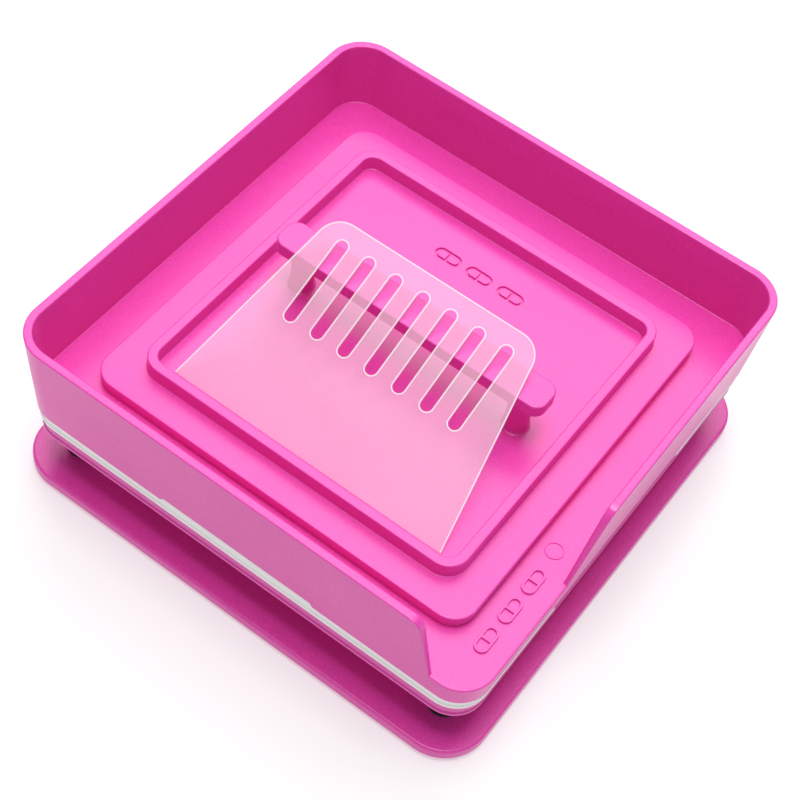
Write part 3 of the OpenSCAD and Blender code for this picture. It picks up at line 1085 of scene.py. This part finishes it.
def build_card():
    """Frosted spreader card with seven slots. A whiter band runs along its cut edges and onto its
    faces: partly the rough cut's own colour, partly a painted edge glow. Its foot has none.
    """
    outline = card_outline()
    slots = []
    for i in range(SLOT_N):
        place = ((i - (SLOT_N - 1) / 2) * SLOT_PITCH, (SLOT_LOW + SLOT_HIGH) / 2)
        slot = pill_outline(place, SLOT_HIGH - SLOT_LOW, SLOT_WIDTH, 0, upright=True, steps=16)
        slots.append([p[:2] for p in slot])
    soft = 0.12
    line = 0.42
    levels = [
        (line, 0),
        (soft, 0),
        (0, soft),
        (0, CARD_T - soft),
        (soft, CARD_T),
        (line, CARD_T),
    ]
    shell = Shell()

    def ring(flat, depth, height):
        return shell.ring(on_card(inset(flat, depth), height))

    faces = {}
    for which, loop in enumerate([outline, *slots]):
        sign = 1 if which == 0 else -1
        rings = [ring(loop, sign * d, h) for d, h in levels]
        # The edge band takes the whiter material: the cut's own colour plus a painted edge glow
        shell.slot = 1
        first = len(shell.faces)
        shell.loft(rings if which == 0 else list(reversed(rings)))
        shell.slot = 0
        # The foot's edge keeps the plain sheet, with no painted edge glow
        if which == 0:
            for foot_edge in range(first, len(shell.faces), len(outline)):
                shell.slots[foot_edge] = 0
        faces[which] = (rings[0], rings[-1])
    under, over = faces.pop(0)
    shell.cap(over, [rings[1] for rings in faces.values()])
    shell.cap(under, [rings[0] for rings in faces.values()], up=False)
    return make_piece(
        "spreader_sheet", shell, "card", ["spreader_card"], [FROSTED, CUT_EDGE_AND_GLOW]
    )


# ---- Fasteners and feet keep their CAD shapes ----


def finish_node(node, material):
    """Gives a CAD node its material."""
    obj = frame["nodes"][node]
    obj.data.materials.clear()
    obj.data.materials.append(material)


def finish_small_parts():
    """Rubber for the feet, steel for the posts, pins and screws."""
    for node in frame["nodes"]:
        if node.startswith("foot_"):
            finish_node(node, RUBBER)
        elif node.startswith("guide_post") or "screws" in node or node == "locating_pins":
            finish_node(node, STEEL)


# ---- Scene ----

# Camera: its aim and distance in millimetres, its angles in degrees, its lens for a 36 mm sensor
CAMERA_AIM = (7.178, -12.095, 40.0)
CAMERA_DISTANCE = 543.25
CAMERA_AZIMUTH = 27.107
CAMERA_ELEVATION = 54.173
CAMERA_ROLL = -10.96
CAMERA_LENS = 80.74
CAMERA_SENSOR = 36

# Floor and surround: half the floor's side in metres, and how bright each is by itself
FLOOR_REACH = 6.0
FLOOR_GLOW = 0.44
SURROUND = 0.34


def add_camera():
    """A long lens from the front right, above, and turned a little about its own axis."""
    data = bpy.data.cameras.new("camera")
    data.lens = CAMERA_LENS
    data.sensor_width = CAMERA_SENSOR
    camera = bpy.data.objects.new("camera", data)
    bpy.context.scene.collection.objects.link(camera)
    bpy.context.scene.camera = camera
    a, e = math.radians(CAMERA_AZIMUTH), math.radians(CAMERA_ELEVATION)
    back = Vector((math.sin(a) * math.cos(e), -math.cos(a) * math.cos(e), math.sin(e)))
    turn = back.to_track_quat("Z", "Y").to_matrix().to_4x4()
    roll = Matrix.Rotation(math.radians(-CAMERA_ROLL), 4, "Z")
    place = Matrix.Translation((Vector(CAMERA_AIM) + back * CAMERA_DISTANCE) * MM)
    camera.matrix_world = place @ turn @ roll


def add_area(name, place, aim, size, power):
    """A square soft light that looks at a point."""
    data = bpy.data.lights.new(name, "AREA")
    data.size = size
    data.energy = power
    light = bpy.data.objects.new(name, data)
    bpy.context.scene.collection.objects.link(light)
    light.location = place
    light.rotation_mode = "QUATERNION"
    light.rotation_quaternion = (Vector(aim) - Vector(place)).to_track_quat("-Z", "Y")
    return light


def add_stage():
    """Pale floor and a plain white surround."""
    mesh = bpy.data.meshes.new("floor")
    r = FLOOR_REACH
    mesh.from_pydata([(-r, -r, 0), (r, -r, 0), (r, r, 0), (-r, r, 0)], [], [(0, 1, 2, 3)])
    floor = bpy.data.objects.new("floor", mesh)
    bpy.context.scene.collection.objects.link(floor)
    material, _, shader, _ = new_material("pale_floor")
    shader.inputs["Base Color"].default_value = (0.55, 0.55, 0.55, 1)
    shader.inputs["Roughness"].default_value = 0.9
    shader.inputs["Emission Color"].default_value = (1, 1, 1, 1)
    shader.inputs["Emission Strength"].default_value = FLOOR_GLOW
    mesh.materials.append(material)
    floor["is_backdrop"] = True
    world = bpy.data.worlds.new("surround")
    world.use_nodes = True
    world.node_tree.nodes["Background"].inputs["Color"].default_value = (1, 1, 1, 1)
    world.node_tree.nodes["Background"].inputs["Strength"].default_value = SURROUND
    bpy.context.scene.world = world


def add_lights():
    """A wide light from behind and a smaller one from above. Places are in metres."""
    middle = (0, 0, 0.04)
    add_area("key_light", (-0.36, 0.72, 1.42), middle, 1.3, 15)
    add_area("top_light", (0.03, -0.1, 1.6), middle, 0.6, 14)


bpy.context.scene.view_settings.view_transform = "Standard"
add_camera()
add_stage()
add_lights()
build_base()
build_springs()
build_body_plate()
build_middle_plate()
build_cap_plate()
build_tray()
build_tamper()
build_pin_plate()
build_handle()
build_card()
finish_small_parts()

boxes = {"cad": CAD_BOX, "visual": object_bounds()}
{k: [list(corner) for corner in box] for k, box in boxes.items()}
